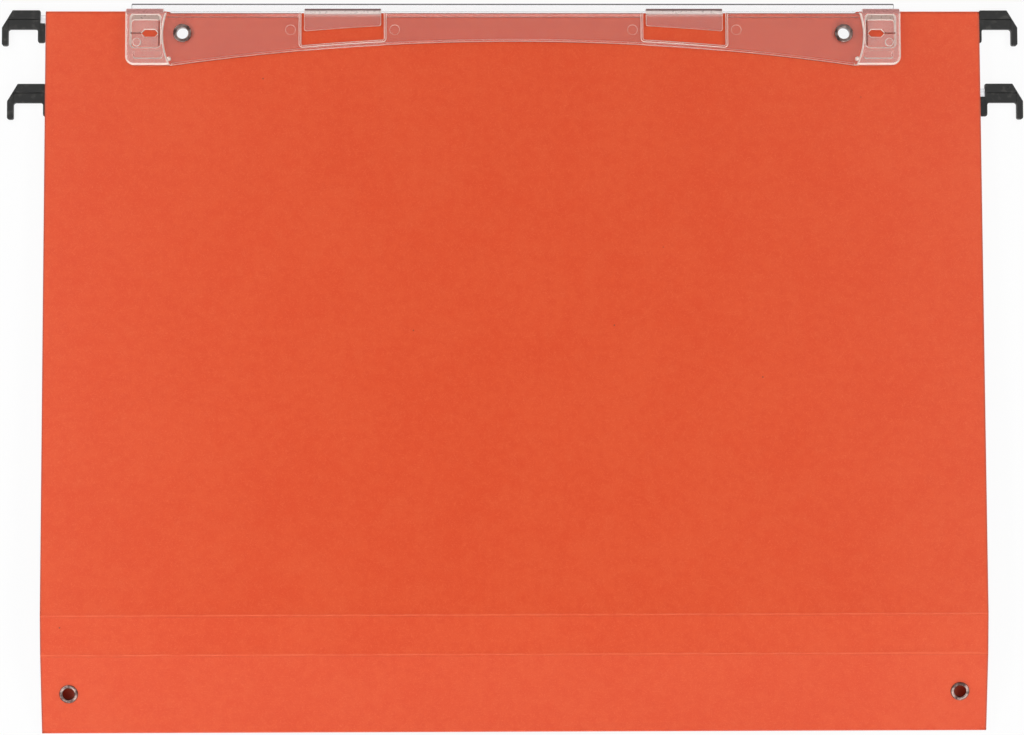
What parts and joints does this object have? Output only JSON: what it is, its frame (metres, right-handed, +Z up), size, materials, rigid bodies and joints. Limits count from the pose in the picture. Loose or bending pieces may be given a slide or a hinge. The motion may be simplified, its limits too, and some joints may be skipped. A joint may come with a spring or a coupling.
{
  "type": "hanging file folder",
  "caption": "Folded card suspension file with hooked rods in its hems, a creased base and a clear riveted title holder with a hinged strip; hangs documents between drawer rails.",
  "frame": {"origin": "centre of the bounding box, on the surface that the file lies on", "axes": "+X to the right along the rods, +Y up the panels towards the rods, +Z up, out of the front panel"},
  "size_m": [0.3498, 0.249, 0.0086],
  "materials": {
    "card": "matt orange kraft card",
    "rod_steel": "bright drawn steel",
    "hook_plastic": "black satin moulded plastic",
    "clear_plastic": "clear moulded plastic",
    "eyelet_metal": "dark nickel plated steel"
  },
  "bodies": {
    "back": {"back_panel": "card", "back_hem": "card", "back_hem_wall": "card", "back_hem_flap": "card", "bottom_fold": "card"},
    "rear_rod": {"rear_rod": "rod_steel", "rear_left_hook": "hook_plastic", "rear_right_hook": "hook_plastic"},
    "base": {"base_panel": "card", "base_eyelet_left": "eyelet_metal", "base_eyelet_right": "eyelet_metal", "lower_crease": "card"},
    "front_strip": {"front_expansion_strip": "card", "upper_crease": "card"},
    "front": {"front_panel": "card", "front_hem": "card", "front_hem_wall": "card", "front_hem_flap": "card", "title_holder": "clear_plastic", "title_eyelet_left": "eyelet_metal", "title_eyelet_right": "eyelet_metal"},
    "front_rod": {"front_rod": "rod_steel", "front_left_hook": "hook_plastic", "front_right_hook": "hook_plastic"},
    "title_strip": {"title_strip": "clear_plastic"}
  },
  "joints": [
    {"name": "rear_rod_slide", "type": "slide", "parent": "back", "child": "rear_rod", "axis": [1, 0, 0], "range_m": [-0.0018, 0]},
    {"name": "bottom_fold_hinge", "type": "hinge", "parent": "back", "child": "base", "pos_m": [0, -0.12356, 0.0009], "axis": [1, 0, 0], "range_deg": [0, 78], "deforming": ["bottom_fold"]},
    {"name": "lower_crease_hinge", "type": "hinge", "parent": "base", "child": "front_strip", "pos_m": [0, -0.09809, 0.00703], "axis": [1, 0, 0], "range_deg": [-76.57, 0], "deforming": ["lower_crease"]},
    {"name": "upper_crease_hinge", "type": "hinge", "parent": "front_strip", "child": "front", "pos_m": [0, -0.08479, 0.00843], "axis": [1, 0, 0], "range_deg": [0, 90], "deforming": ["upper_crease"]},
    {"name": "front_rod_slide", "type": "slide", "parent": "front", "child": "front_rod", "axis": [1, 0, 0], "range_m": [0, 0.0018]},
    {"name": "title_strip_tilt", "type": "hinge", "parent": "front", "child": "title_strip", "pos_m": [0, 0.12038, 0.00158], "axis": [-1, 0, 0], "range_deg": [0, 75]}
  ],
  "couplings": [
    {"joint": "lower_crease_hinge", "follows": "bottom_fold_hinge", "ratio": -0.97909}
  ]
}
